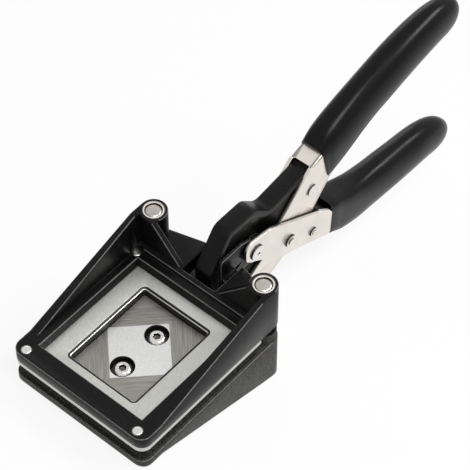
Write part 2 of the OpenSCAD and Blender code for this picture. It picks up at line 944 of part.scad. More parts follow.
// The bevel round the die opening: it widens to the die's upper face
module die_bevel() {
    rise = die_bevel_depth + past;
    wide = die_bevel_w * rise / die_bevel_depth;
    half_x = print_w / 2;
    half_y = print_h / 2;
    translate([0, 0, -die_bevel_depth])
        intersection() {
            front_plate([[-half_x, 0], [half_x, 0], [half_x + wide, rise], [-half_x - wide, rise]],
                -jaw_front, jaw_front);
            side_plate([[-half_y, 0], [half_y, 0], [half_y + wide, rise], [-half_y - wide, rise]],
                -half_w, half_w);
        }
}

// Rivets that hold the die plate, with low domed heads
module die_rivets() {
    dome = 0.35;
    flat_share = 0.8;
    color("white")
    standing()
    both_sides()
        for (y = die_rivets_y) {
            column(die_rivet_x, y, die_rivet_d / 2, die_bottom, plate_top);
            translate([die_rivet_x, y, plate_top])
                cylinder(d1 = die_rivet_d, d2 = die_rivet_d * flat_share, h = dome);
        }
}

// Guide bush pressed into the upper jaw's boss, with a wider mouth at the top
bush_wall = 0.7;
module guide_bush() {
    mouth_r = bush_d / 2 - bush_wall;
    mouth_depth = 1.2;
    color("silver")
    standing()
    difference() {
        column(post_x, post_y, bush_d / 2, boss_top - bush_l, boss_top);
        column(post_x, post_y, post_d / 2 + run_clearance, boss_top - bush_l - past, boss_top + past);
        column(post_x, post_y, mouth_r, boss_top - mouth_depth, boss_top + past);
    }
}
module guide_bush_right() guide_bush();
module guide_bush_left() mirror([1, 0, 0]) guide_bush();

// Lower handle: two side plates, a tongue between them, a tang and a grip
module lever_plate() {
    color("linen")
    standing()
    difference() {
        union() {
            side_plate(rounded(lever_corners), lever_in, lever_out);
            cross_pin(nose, nose_r, lever_in, lever_out);
        }
        cross_pin(nose, nose_pin_d / 2, 0, lever_out + past);
        cross_pin(pivot, pivot_d / 2 + run_clearance, 0, lever_out + past);
        cross_pin(core_rivet, rivet_d / 2, 0, lever_out + past);
    }
}
module lever_plate_right() lever_plate();
module lever_plate_left() mirror([1, 0, 0]) lever_plate();
module lever_core() {
    color("black")
    standing()
    difference() {
        union() {
            side_plate(rounded(tongue_corners), -lever_in, lever_in);
            side_plate(rounded(tang_corners), -tang_half_w, tang_half_w);
        }
        cross_pin(core_rivet, rivet_d / 2, -lever_out, lever_out);
    }
}
module lower_grip() {
    color("black")
    standing()
    difference() {
        grip_body(lower_grip_path);
        side_plate(lower_mouth_cut, -jaw_w, jaw_w);
        side_plate(rounded(tongue_corners), -lever_in, lever_in);
        side_plate(rounded(tang_corners), -tang_half_w, tang_half_w);
        both_sides()
            side_plate(rounded(lever_corners), lever_in, lever_out);
    }
}
core_head_out = 0.3;
core_head_h = 0.4;
module core_rivet_pin() {
    color("linen")
    standing()
        cross_rivet(core_rivet, rivet_d / 2, lever_out, rivet_d / 2 + core_head_out, core_head_h);
}

// Nose pin that drives the upper jaw, with a domed and dimpled head at each end
module nose_pin() {
    head_r = 4.4;
    head_h = 1.6;
    dimple_r = 0.9;
    dimple_depth = 0.6;
    color("white")
    standing()
    difference() {
        cross_rivet(nose, nose_pin_d / 2, lever_out, head_r, head_h);
        both_sides()
            cross_pin(nose, dimple_r, lever_out + head_h - dimple_depth, lever_out + head_h + past);
    }
}

base_frame();
guide_post_left();
guide_post_right();
post_spring_left();
post_spring_right();
punch_block();
punch_screws();
stripper_pad();
upper_handle();
upper_grip();
handle_rivet();
frame_rivets();
pivot_pin();
upper_jaw();
die_plate();
die_rivets();
guide_bush_left();
guide_bush_right();
lever_plate_left();
lever_plate_right();
lever_core();
lower_grip();
core_rivet_pin();
nose_pin();
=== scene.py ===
"""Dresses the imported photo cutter: castings, vinyl grips, foam, springs, finishes, light and camera."""

import json
import math

import bmesh
import bpy
from mathutils import Matrix, Vector, noise
from mathutils.bvhtree import BVHTree


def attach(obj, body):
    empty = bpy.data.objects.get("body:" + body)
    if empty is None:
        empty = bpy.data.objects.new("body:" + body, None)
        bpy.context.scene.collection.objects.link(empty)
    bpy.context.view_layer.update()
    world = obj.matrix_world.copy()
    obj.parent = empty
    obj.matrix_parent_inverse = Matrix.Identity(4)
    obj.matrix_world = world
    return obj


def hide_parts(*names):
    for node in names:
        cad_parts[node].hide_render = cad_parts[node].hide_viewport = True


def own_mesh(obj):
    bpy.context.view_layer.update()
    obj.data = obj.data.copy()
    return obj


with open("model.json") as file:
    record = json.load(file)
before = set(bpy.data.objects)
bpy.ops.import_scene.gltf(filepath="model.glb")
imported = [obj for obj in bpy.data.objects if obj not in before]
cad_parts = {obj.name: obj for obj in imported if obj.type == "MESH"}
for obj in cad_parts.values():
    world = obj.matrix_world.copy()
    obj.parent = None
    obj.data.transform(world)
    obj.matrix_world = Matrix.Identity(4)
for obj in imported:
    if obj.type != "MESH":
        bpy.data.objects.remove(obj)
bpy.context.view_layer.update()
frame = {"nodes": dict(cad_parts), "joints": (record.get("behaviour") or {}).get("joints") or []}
nodes = frame["nodes"]

# The jaw's own frame: millimetres from the middle of the die opening, tilted onto the table.
MM = 0.001
SLIDE_AXIS = next(joint["axis"] for joint in frame["joints"] if joint["name"] == "jaw_slide")
TILT = math.atan2(SLIDE_AXIS[1], -SLIDE_AXIS[2])
JAW_UP = Vector((0, -math.sin(TILT), math.cos(TILT)))
DIE_HEIGHT = max(vert.co.dot(JAW_UP) for vert in nodes["die_plate"].data.vertices) / JAW_UP.z
JAW = Matrix.Translation((0, 0, DIE_HEIGHT)) @ Matrix.Rotation(TILT, 4, "X") @ Matrix.Scale(MM, 4)
TO_JAW = JAW.inverted()


def at(x, y, z):
    """A point of the jaw's frame, in the row frame."""
    return JAW @ Vector((x, y, z))


def span(node):
    """The least and the greatest corner of a CAD node, in the jaw's frame."""
    points = [TO_JAW @ vert.co for vert in nodes[node].data.vertices]
    return [Vector([pick(point[i] for point in points) for i in range(3)]) for pick in (min, max)]


def middle_of(node):
    """The middle of a CAD node, in the jaw's frame."""
    low, high = span(node)
    return (low + high) / 2


# Sizes and places that several pieces share, in the jaw's frame.
SIDES = ((1, "right"), (-1, "left"))
LEVER_OUT = span("lever_plate_right")[1].x
CHANNEL_OUT = span("upper_handle")[1].x
POST = middle_of("guide_bush_right")
OPENING_X, OPENING_Y = 35 / 2, 45 / 2
RIVET_X, RIVET_FRONT, RIVET_REAR = 30.1, -34.1, 31.8
SCREW_Y = 10.4
DIAMOND_TOP = -5


def finish(name, colour, metallic=0.0, roughness=0.4, ior=1.45):
    """A new material with its plain values, and the parts that finishes build on."""
    material = bpy.data.materials.new(name)
    material.use_nodes = True
    tree = material.node_tree
    shader = tree.nodes["Principled BSDF"]
    shader.inputs["Base Color"].default_value = (*colour, 1)
    shader.inputs["Metallic"].default_value = metallic
    shader.inputs["Roughness"].default_value = roughness
    shader.inputs["IOR"].default_value = ior
    return material, tree, shader


def grey(level):
    """A neutral colour."""
    return (level, level, level)


def maths(tree, operation, *values):
    """A math node's result; each value is a number or another node's socket."""
    node = tree.nodes.new("ShaderNodeMath")
    node.operation = operation
    for socket, value in zip(node.inputs, values):
        if isinstance(value, (int, float)):
            socket.default_value = value
        else:
            tree.links.new(value, socket)
    return node.outputs[0]


def texture(tree, kind, scale, turn=0, stretch=(1, 1, 1), **inputs):
    """A texture on Object coordinates, turned in the table's plane and stretched; scale counts per metre."""
    place = tree.nodes.new("ShaderNodeTexCoord")
    mapping = tree.nodes.new("ShaderNodeMapping")
    mapping.vector_type = "TEXTURE"
    mapping.inputs["Rotation"].default_value = (0, 0, math.radians(turn))
    mapping.inputs["Scale"].default_value = [1 / share for share in stretch]
    node = tree.nodes.new("ShaderNodeTex" + kind)
    node.inputs["Scale"].default_value = scale
    for key, value in inputs.items():
        node.inputs[key].default_value = value
    tree.links.new(place.outputs["Object"], mapping.inputs["Vector"])
    tree.links.new(mapping.outputs["Vector"], node.inputs["Vector"])
    return node.outputs["Distance" if kind == "Voronoi" else "Fac"]


def ramp(tree, source, low, high):
    """A colour ramp over a texture's value, between two [value, colour] ends."""
    node = tree.nodes.new("ShaderNodeValToRGB")
    for element, (value, colour) in zip(node.color_ramp.elements, (low, high)):
        element.position = value
        element.color = (*colour, 1)
    tree.links.new(source, node.inputs["Fac"])
    return node.outputs["Color"]


def bump(tree, shader, source, distance, strength):
    """Relief from a texture's value, over what relief the shader already has."""
    node = tree.nodes.new("ShaderNodeBump")
    node.inputs["Strength"].default_value = strength
    node.inputs["Distance"].default_value = distance
    tree.links.new(source, node.inputs["Height"])
    if shader.inputs["Normal"].links:
        tree.links.new(shader.inputs["Normal"].links[0].from_socket, node.inputs["Normal"])
    tree.links.new(node.outputs["Normal"], shader.inputs["Normal"])


def enamel_finish(name, dark, light, roughness, ior, peel_size, peel_depth):
    """Black enamel over a casting, with an orange peel and faint patches."""
    material, tree, shader = finish(name, dark, roughness=roughness, ior=ior)
    peel = texture(tree, "Noise", peel_size, Detail=3.0, Roughness=0.6)
    bump(tree, shader, peel, peel_depth, strength=0.4)
    patches = texture(tree, "Noise", 60, Detail=4.0, Roughness=0.55)
    shade = ramp(tree, patches, (0.3, grey(roughness - 0.06)), (0.7, grey(roughness + 0.08)))
    tree.links.new(shade, shader.inputs["Roughness"])
    speckle = texture(tree, "Noise", peel_size * 1.5, Detail=2.0, Roughness=0.7)
    tint = ramp(tree, speckle, (0.4, dark), (0.7, light))
    tree.links.new(tint, shader.inputs["Base Color"])
    return material


def vinyl_finish():
    """Glossy dipped vinyl with slow waves in its skin."""
    material, tree, shader = finish("black_vinyl", (0.005, 0.005, 0.0053), roughness=0.26, ior=1.24)
    waves = texture(tree, "Noise", 55, Detail=2.0, Roughness=0.5)
    bump(tree, shader, waves, 0.0004, strength=0.25)
    grain = texture(tree, "Noise", 2600, Detail=2.0, Roughness=0.5)
    bump(tree, shader, grain, 0.00002, strength=0.3)
    shade = ramp(tree, waves, (0.3, grey(0.22)), (0.7, grey(0.3)))
    tree.links.new(shade, shader.inputs["Roughness"])
    return material


def satin_steel_finish(name, dark, light, roughness, turn=0, lines=2400, run=0.02):
    """Ground steel with scratches along one way: more lines are finer, and a smaller run is longer."""
    material, tree, shader = finish(name, light, metallic=1.0, roughness=roughness)
    across, depth = 1, 0.1
    scratches = texture(tree, "Noise", lines, turn, (across, run, depth), Detail=3.0, Roughness=0.65)
    tint = ramp(tree, scratches, (0.3, dark), (0.7, light))
    tree.links.new(tint, shader.inputs["Base Color"])
    shade = ramp(tree, scratches, (0.25, grey(roughness - 0.06)), (0.75, grey(roughness + 0.08)))
    tree.links.new(shade, shader.inputs["Roughness"])
    bump(tree, shader, scratches, 0.00002, strength=0.3)
    return material


def frosted_finish():
    """The punch's bright diamond: fine frosted steel."""
    material, tree, shader = finish("frosted_steel", (0.76, 0.76, 0.75), metallic=1.0, roughness=0.55)
    frost = texture(tree, "Noise", 1500, Detail=4.0, Roughness=0.7)
    tint = ramp(tree, frost, (0.3, (0.66, 0.66, 0.64)), (0.65, (0.8, 0.8, 0.79)))
    tree.links.new(tint, shader.inputs["Base Color"])
    bump(tree, shader, frost, 0.00004, strength=0.4)
    return material


def dark_within(tree, tint, shadow_seam):
    """The tint, turned dark as a painted shadow nearer the cutter's middle plane than the seam, in metres.
    """
    place = tree.nodes.new("ShaderNodeTexCoord")
    split = tree.nodes.new("ShaderNodeSeparateXYZ")
    blend = tree.nodes.new("ShaderNodeMixRGB")
    # The painted shadow's colour.
    blend.inputs["Color2"].default_value = (0.05, 0.045, 0.04, 1)
    tree.links.new(place.outputs["Object"], split.inputs["Vector"])
    aside = maths(tree, "ABSOLUTE", split.outputs["X"])
    tree.links.new(maths(tree, "LESS_THAN", aside, shadow_seam), blend.inputs["Fac"])
    tree.links.new(tint, blend.inputs["Color1"])
    return blend.outputs["Color"]


def nickel_finish(name, dark=(0.78, 0.73, 0.67), light=(0.87, 0.82, 0.76), shadow_seam=0.0):
    """Warm satin nickel plate on pressed sheet, with a painted shadow inside the seam where there is one."""
    material, tree, shader = finish(name, light, metallic=1.0, roughness=0.34)
    cloud = texture(tree, "Noise", 90, Detail=5.0, Roughness=0.6)
    tint = ramp(tree, cloud, (0.3, dark), (0.7, light))
    if shadow_seam:
        tint = dark_within(tree, tint, shadow_seam)
    tree.links.new(tint, shader.inputs["Base Color"])
    grain = texture(tree, "Noise", 3000, stretch=(1, 0.06, 1), Detail=2.0, Roughness=0.5)
    shade = ramp(tree, grain, (0.3, grey(0.28)), (0.7, grey(0.4)))
    tree.links.new(shade, shader.inputs["Roughness"])
    bump(tree, shader, grain, 0.00002, strength=0.2)
    return material


def polished_finish(name, colour, roughness):
    """Turned and polished steel with faint marks."""
    material, tree, shader = finish(name, colour, metallic=1.0, roughness=roughness)
    marks = texture(tree, "Noise", 1200, Detail=3.0, Roughness=0.6)
    shade = ramp(tree, marks, (0.3, grey(roughness - 0.04)), (0.7, grey(roughness + 0.08)))
    tree.links.new(shade, shader.inputs["Roughness"])
    bump(tree, shader, marks, 0.00001, strength=0.25)
    return material


def foam_finish():
    """Black granular foam: open cells and crumbs."""
    material, tree, shader = finish("granular_foam", grey(0.012), roughness=0.92, ior=1.3)
    crumbs = texture(tree, "Voronoi", 1100, Randomness=1.0)
    bump(tree, shader, crumbs, 0.0005, strength=0.9)
    tint = ramp(tree, crumbs, (0.1, (0.07, 0.07, 0.065)), (0.5, grey(0.006)))
    tree.links.new(tint, shader.inputs["Base Color"])
    return material


# Finishes of the castings and the grips.
black_enamel = enamel_finish("black_enamel", grey(0.003), grey(0.008), roughness=0.32, ior=1.25,
                             peel_size=900, peel_depth=0.00006)
# Painted highlight: a lighter enamel for the castings' rounded edges, where light would catch them.
painted_edge_highlight_enamel = enamel_finish("painted_edge_highlight_enamel", (0.09, 0.09, 0.088), (0.18, 0.18, 0.175), roughness=0.34,
                              ior=1.4, peel_size=700, peel_depth=0.00003)
sand_enamel = enamel_finish("sand_enamel", (0.004, 0.004, 0.003), (0.1, 0.097, 0.09), roughness=0.42,
                            ior=1.27, peel_size=1500, peel_depth=0.00025)
black_vinyl = vinyl_finish()

# Finishes of the die and the punch, and the painted shade and painted dark reflections for the metal's dark
# places.
die_steel = satin_steel_finish("die_steel", (0.54, 0.54, 0.51), (0.66, 0.66, 0.62), 0.42, turn=40, run=0.2)
GROUND_DARK, GROUND_LIGHT = (0.21, 0.205, 0.19), (0.44, 0.43, 0.4)
ground_right = satin_steel_finish("ground_right", GROUND_DARK, GROUND_LIGHT, 0.45, turn=45, lines=2800)
ground_left = satin_steel_finish("ground_left", GROUND_DARK, GROUND_LIGHT, 0.45, turn=-45, lines=2800)
# Painted shade: near-black steel for the walls, sockets and counterbores that lie in shade.
shaded_steel = satin_steel_finish("shaded_steel", grey(0.02), grey(0.05), 0.5)
# Painted reflection: dark steel for the die's bevel, standing for the dark surroundings it mirrors.
bevel_painted_reflection_steel = satin_steel_finish("bevel_painted_reflection_steel", (0.02, 0.02, 0.017), (0.05, 0.05, 0.045), 0.45)
# Painted shade: a mid-dark steel for the socket floors and the guide bushes' bores.
bore_painted_shade_steel = satin_steel_finish("bore_painted_shade_steel", (0.1, 0.09, 0.075), (0.2, 0.18, 0.15), 0.4)
# Painted reflection: dark steel for the flanks of pin heads, standing for the dark castings they mirror.
head_flank_painted_reflection_steel = satin_steel_finish("head_flank_painted_reflection_steel", (0.03, 0.025, 0.02), (0.09, 0.075, 0.06), 0.4)
frosted_steel = frosted_finish()

# Finishes of the sheet, the turned pieces, the springs and the foam.
nickel_plate = nickel_finish("nickel_plate")
post_nickel = nickel_finish("post_nickel", (0.42, 0.4, 0.36), (0.6, 0.57, 0.52))
# Painted shadow: the lever plates turn dark along their inner edges, where the gap beside the channel lies
# in shade.
lever_nickel_painted_shadow = nickel_finish("lever_nickel_painted_shadow", shadow_seam=0.0066)
# Painted reflection: a darker nickel for the channel's bends, standing for the dark room they mirror.
bend_painted_reflection_nickel = nickel_finish("bend_painted_reflection_nickel", (0.28, 0.27, 0.23), (0.4, 0.38, 0.33))
screw_steel = polished_finish("screw_steel", (0.78, 0.77, 0.75), 0.2)
bright_steel = polished_finish("bright_steel", (0.8, 0.79, 0.77), 0.2)
spring_wire = polished_finish("spring_wire", grey(0.35), 0.3)
granular_foam = foam_finish()


def piece(name, mesh, body, materials, replaced):
    """A finished mesh as a piece that rides on a body and stands for a CAD node."""
    obj = bpy.data.objects.new(name, mesh)
    bpy.context.scene.collection.objects.link(obj)
    if not mesh.materials:
        for material in materials:
            mesh.materials.append(material)
    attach(obj, body)
    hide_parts(replaced)
    return obj


def repaint(obj, materials, pick):
    """Adds finishes to a piece; pick gives the number of the one for a polygon's middle and normal."""
    for material in materials:
        obj.data.materials.append(material)
    for polygon in obj.data.polygons:
        if polygon.material_index == 0:
            polygon.material_index = pick(TO_JAW @ polygon.center, polygon.normal)


def bend_sheet(bm, bend, radius):
    """Rounds the edges that bend picks into a sheet's bend, marked for the second finish, which on the
    channel is a darker nickel as painted reflection.
    """
    chosen = [edge for edge in bm.edges if all(bend(*(TO_JAW @ vert.co)) for vert in edge.verts)]
    made = bmesh.ops.bevel(bm, geom=chosen, offset=radius * MM, offset_type="OFFSET", segments=6,
                           profile=0.5, affect="EDGES", clamp_overlap=False)
    for face in made["faces"]:
        face.material_index = 1


def paint_edge_highlights(faces, plain, depth, highlit):
    """Marks the outward edges for the second finish, a painted highlight, at the places that the given test
    tells.
    """
    for face in faces:
        middle = face.calc_center_median()
        nearest, normal, index, distance = plain.find_nearest(middle)
        if (middle - nearest).dot(normal) < -depth and highlit(*(TO_JAW @ middle)):
            face.material_index = 1


def soft_edged(node, name, body, materials, width, angle=30, segments=2,
               bend=None, bend_r=0, highlit=None):
    """A copy of a CAD node with its sharp edges rounded over, and with bends or painted edge highlights if
    asked.
    """
    weld, flat = 2e-5, math.radians(0.6)
    bm = bmesh.new()
    bm.from_mesh(nodes[node].data)
    bmesh.ops.remove_doubles(bm, verts=bm.verts, dist=weld)
    bmesh.ops.dissolve_limit(bm, angle_limit=flat, verts=bm.verts, edges=bm.edges)
    if bend:
        bend_sheet(bm, bend, bend_r)
    plain = BVHTree.FromBMesh(bm)
    offset = width * MM
    sharp = [edge for edge in bm.edges
             if len(edge.link_faces) == 2 and edge.calc_face_angle(0) > math.radians(angle)]
    made = bmesh.ops.bevel(bm, geom=sharp, offset=offset, offset_type="OFFSET", segments=segments,
                           profile=0.5, affect="EDGES", clamp_overlap=False, miter_outer="SHARP")
    if highlit:
        paint_edge_highlights(made["faces"], plain, 0.02 * offset, highlit)
    # A bevel that ran past a short edge comes back to the plain surface.
    for vert in bm.verts:
        nearest, normal, index, distance = plain.find_nearest(vert.co)
        if distance > offset:
            vert.co = nearest
    bmesh.ops.triangulate(bm, faces=[face for face in bm.faces if len(face.verts) > 4])
    mesh = bpy.data.meshes.new(name)
    bm.to_mesh(mesh)
    bm.free()
    mesh.shade_smooth()
    mesh.set_sharp_from_angle(angle=math.radians(angle))
    return piece(name, mesh, body, materials, node)


def mesh_of(name, verts, faces, smooth_angle):
    """A mesh from points in the jaw's frame, facing outwards."""
    mesh = bpy.data.meshes.new(name)
    mesh.from_pydata([tuple(vert) for vert in verts], [], faces)
    mesh.transform(JAW)
    bm = bmesh.new()
    bm.from_mesh(mesh)
    bmesh.ops.remove_doubles(bm, verts=bm.verts, dist=1e-7)
    bmesh.ops.recalc_face_normals(bm, faces=bm.faces)
    bm.to_mesh(mesh)
    bm.free()
    mesh.shade_smooth()
    mesh.set_sharp_from_angle(angle=math.radians(smooth_angle))
    return mesh


def skin(rings, loop=False):
    """Quads through rings of equally many points, closed at both ends or from the last ring to the first."""
    count = len(rings[0])
    verts = [point for ring in rings for point in ring]
    faces = []
    for i in range(len(rings) if loop else len(rings) - 1):
        j = (i + 1) % len(rings)
        for k in range(count):
            m = (k + 1) % count
            faces.append((i * count + k, i * count + m, j * count + m, j * count + k))
    if not loop:
        faces.append(tuple(range(count))[::-1])
        faces.append(tuple((len(rings) - 1) * count + k for k in range(count)))
    return verts, faces


# The castings.
def base_highlit(x, y, z):
    """The base's edges carry a painted highlight at its plate, not along its arm."""
    arm_front, plate_top = 38, -9
    return y < arm_front or z < plate_top


def base_grain(middle, normal):
    """The base's lower part is sand cast."""
    rear, top = 49.5, -6
    return 2 if middle.y < rear and middle.z < top else 0


def base_casting():
    """The lower jaw with its arm."""
    obj = soft_edged("base_frame", "base_casting", "base", [black_enamel, painted_edge_highlight_enamel],
                     0.35, highlit=base_highlit)
    repaint(obj, [sand_enamel], base_grain)


def jaw_highlit(x, y, z):
    """The jaw's edges carry a painted highlight, but not by its rear rivets, the right gusset's foot or the
    notch's left side.
    """
    seat_r, notch_front = 9.5, 36
    rivet_seat = math.hypot(abs(x) - RIVET_X, y - RIVET_REAR) < seat_r
    gusset_foot = x > 12 and notch_front < y < 50 and z < 14
    notch_side = -10 < x < -3 and notch_front < y < 55
    return not (rivet_seat or gusset_foot or notch_side)


def jaw_casting():
    """The upper jaw."""
    soft_edged("upper_jaw", "jaw_casting", "jaw", [black_enamel, painted_edge_highlight_enamel], 0.35,
               highlit=jaw_highlit)


# The die, the punch with its screws, and the foam round it.
def outline(half_x, front, rear, r_front, r_rear, count):
    """Points round a rounded rectangle, spread evenly along it."""
    corners = [
        (half_x - r_rear, rear - r_rear, r_rear, 0),
        (-half_x + r_rear, rear - r_rear, r_rear, 90),
        (-half_x + r_front, front + r_front, r_front, 180),
        (half_x - r_front, front + r_front, r_front, 270),
    ]
    arc_steps = 16
    fine = []
    for x, y, r, start in corners:
        for k in range(arc_steps + 1):
            a = math.radians(start + 90 * k / arc_steps)
            fine.append(Vector((x + r * math.cos(a), y + r * math.sin(a))))
    fine.append(fine[0])
    lengths = [0.0]
    for a, b in zip(fine, fine[1:]):
        lengths.append(lengths[-1] + (b - a).length)
    out, i = [], 0
    for k in range(count):
        want = lengths[-1] * k / count
        while lengths[i + 1] < want:
            i += 1
        t = (want - lengths[i]) / max(lengths[i + 1] - lengths[i], 1e-9)
        out.append(fine[i].lerp(fine[i + 1], t))
    return out


# Heights of the die's bevel, dark with a painted reflection, and of the wall's upper end under the bright
# border below it.
BEVEL_LOW, BEVEL_HIGH, WALL_TOP = -0.62, -0.08, -0.86


def die_shade(middle, normal):
    """The opening's wall gets painted shade, and its bevel a painted dark reflection between two bright
    borders.
    """
    rim, border = 1.1, 0.12
    if abs(middle.x) > OPENING_X + rim or abs(middle.y) > OPENING_Y + rim:
        return 0
    if middle.z < WALL_TOP and abs(normal.dot(JAW_UP)) < 0.1:
        return 1
    return 2 if BEVEL_LOW + border < middle.z < BEVEL_HIGH - border else 0


def die():
    """The die plate: a flange, a raised middle and an opening with a rounded bevel."""
    low, high = span("die_plate")
    ledge, corner_r, count = -1.7, 1, 480

    def flange(z):
        """The plate's own outline."""
        return [(*p, z) for p in outline(high.x, low.y, high.y, 4.7, 0.7, count)]

    def raised(z):
        """The outline of the middle that fills the jaw's window."""
        return [(*p, z) for p in outline(29.9, -31.1, 32.1, 2, 2, count)]

    def opening(wider, z):
        """The outline of the opening, widened."""
        half_x, half_y, r = OPENING_X + wider, OPENING_Y + wider, corner_r + wider
        return [(*p, z) for p in outline(half_x, -half_y, half_y, r, r, count)]

    rings = [
        flange(low.z), flange(ledge), raised(ledge), raised(high.z),
        opening(1.5, high.z), opening(1.2, BEVEL_HIGH), opening(0.3, BEVEL_LOW), opening(0, WALL_TOP),
        opening(0, low.z),
    ]
    verts, faces = skin(rings, loop=True)
    obj = piece("die", mesh_of("die", verts, faces, 24), "jaw", [die_steel], "die_plate")
    repaint(obj, [shaded_steel, bevel_painted_reflection_steel], die_shade)


def socket_shade(middle, normal):
    """The walls of the screws' sockets get painted shade and their floors a lighter painted shade."""
    top, floor, half_width = -5.78, -7.6, 1.72
    if math.hypot(middle.x, abs(middle.y) - SCREW_Y) > half_width or not floor < middle.z < top:
        return 0
    return 1 if abs(normal.dot(JAW_UP)) < 0.5 else 2


def punch_screws():
    """The two button heads that hold the punch."""
    obj = soft_edged("punch_screws", "punch_screw_heads", "base", [screw_steel], 0.12)
    repaint(obj, [shaded_steel, bore_painted_shade_steel], socket_shade)


def punch_grind(middle, normal):
    """A frosted diamond, painted shade in the counterbores, and corners ground along the diamond's edges."""
    bore, flat, near = 5.3, 0.9999, 0.05
    if normal.dot(JAW_UP) > flat and abs(middle.z - DIAMOND_TOP) < near:
        return 1
    if abs(middle.x) < bore and abs(abs(middle.y) - SCREW_Y) < bore and middle.z < DIAMOND_TOP - 2 * near:
        return 2
    return 3 if middle.x * middle.y < 0 else 0


def punch():
    """The punch in the middle of the base."""
    obj = soft_edged("punch_block", "punch", "base", [ground_right], 0.05,
                     angle=20, segments=1)
    repaint(obj, [frosted_steel, shaded_steel, ground_left], punch_grind)


def foam_pad():
    """The stripper pad: a granular foam frame round the punch, crumbly on its sides."""
    low, high = span("stripper_pad")
    room, edge, count, steps = 0.9, 0.25, 420, 5
    crumb, grain = 0.22, 0.12
    outer = outline(high.x, low.y, high.y, 3.8, 1.5, count)
    inner = outline(OPENING_X + room, -OPENING_Y - room, OPENING_Y + room, 1.8, 1.8, count)
    rings = []
    for shape, inset, order in ((outer, -edge, range(steps + 1)), (inner, edge, range(steps, -1, -1))):
        for i in order:
            z = low.z + (high.z - low.z) * i / steps
            ring = []
            for p in shape:
                away = Vector((p.x, p.y, 0)).normalized()
                q = Vector((p.x, p.y, z))
                if i in (0, steps):
                    q += away * inset
                else:
                    q += away * (crumb * noise.noise(q * 0.9) + grain * noise.noise(q * 2.3))
                ring.append(q)
            rings.append(ring)
    verts, faces = skin(rings, loop=True)
    mesh = mesh_of("foam_pad", verts, faces, 70)
    obj = piece("foam_pad", mesh, "base", [granular_foam], "stripper_pad")
    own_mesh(obj)


# What geometry nodes make: the springs and the die's rivets.
def node_tree(name, inputs):
    """An empty geometry tree with named number inputs."""
    tree = bpy.data.node_groups.new(name, "GeometryNodeTree")
    tree.interface.new_socket("Geometry", in_out="INPUT", socket_type="NodeSocketGeometry")
    for label in inputs:
        tree.interface.new_socket(label, in_out="INPUT", socket_type="NodeSocketFloat")
    tree.interface.new_socket("Geometry", in_out="OUTPUT", socket_type="NodeSocketGeometry")
    return tree, tree.nodes.new("NodeGroupInput"), tree.nodes.new("NodeGroupOutput")


def end_tree(tree, geometry, material, end):
    """Realizes a tree's instances, sets their finish and leads them out."""
    realize = tree.nodes.new("GeometryNodeRealizeInstances")
    dress = tree.nodes.new("GeometryNodeSetMaterial")
    dress.inputs["Material"].default_value = material
    tree.links.new(geometry, realize.inputs["Geometry"])
    tree.links.new(realize.outputs["Geometry"], dress.inputs["Geometry"])
    tree.links.new(dress.outputs["Geometry"], end.inputs["Geometry"])


def grown(name, tree, source, values):
    """The plain mesh that a geometry tree makes on a source mesh."""
    obj = bpy.data.objects.new(name, source)
    bpy.context.scene.collection.objects.link(obj)
    modifier = obj.modifiers.new("grow", "NODES")
    modifier.node_group = tree
    for item in tree.interface.items_tree:
        if item.item_type == "SOCKET" and item.in_out == "INPUT" and item.name in values:
            modifier[item.identifier] = values[item.name]
    mesh = bpy.data.meshes.new_from_object(obj.evaluated_get(bpy.context.evaluated_depsgraph_get()))
    obj.modifiers.remove(modifier)
    bpy.data.objects.remove(obj)
    mesh.name = name
    return mesh


def coil_tree():
    """A wire coil with open turns."""
    tree, start, end = node_tree("coil", ["Turns", "Radius", "Height", "Wire"])
    spiral = tree.nodes.new("GeometryNodeCurveSpiral")
    spiral.inputs["Resolution"].default_value = 40
    circle = tree.nodes.new("GeometryNodeCurvePrimitiveCircle")
    circle.inputs["Resolution"].default_value = 12
    tube = tree.nodes.new("GeometryNodeCurveToMesh")
    tube.inputs["Fill Caps"].default_value = True
    link = tree.links.new
    link(start.outputs["Turns"], spiral.inputs["Rotations"])
    link(start.outputs["Radius"], spiral.inputs["Start Radius"])
    link(start.outputs["Radius"], spiral.inputs["End Radius"])
    link(start.outputs["Height"], spiral.inputs["Height"])
    link(start.outputs["Wire"], circle.inputs["Radius"])
    link(spiral.outputs["Curve"], tube.inputs["Curve"])
    link(circle.outputs["Curve"], tube.inputs["Profile Curve"])
    end_tree(tree, tube.outputs["Mesh"], spring_wire, end)
    return tree


def return_spring(tree, word):
    """One return spring on its post."""
    name, node = "return_spring_" + word, "post_spring_" + word
    low, high = span(node)
    middle = middle_of(node)
    wire = 0.5
    sizes = {
        "Turns": 6.0,
        "Radius": (high.x - low.x) / 2 - wire,
        "Height": high.z - low.z - 2 * wire,
        "Wire": wire,
    }
    mesh = grown(name, tree, bpy.data.meshes.new("empty"), sizes)
    mesh.transform(Matrix.Translation((middle.x, middle.y, low.z + wire)))
    mesh.transform(JAW)
    mesh.shade_smooth()
    obj = piece(name, mesh, "base", [spring_wire], node)
    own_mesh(obj)


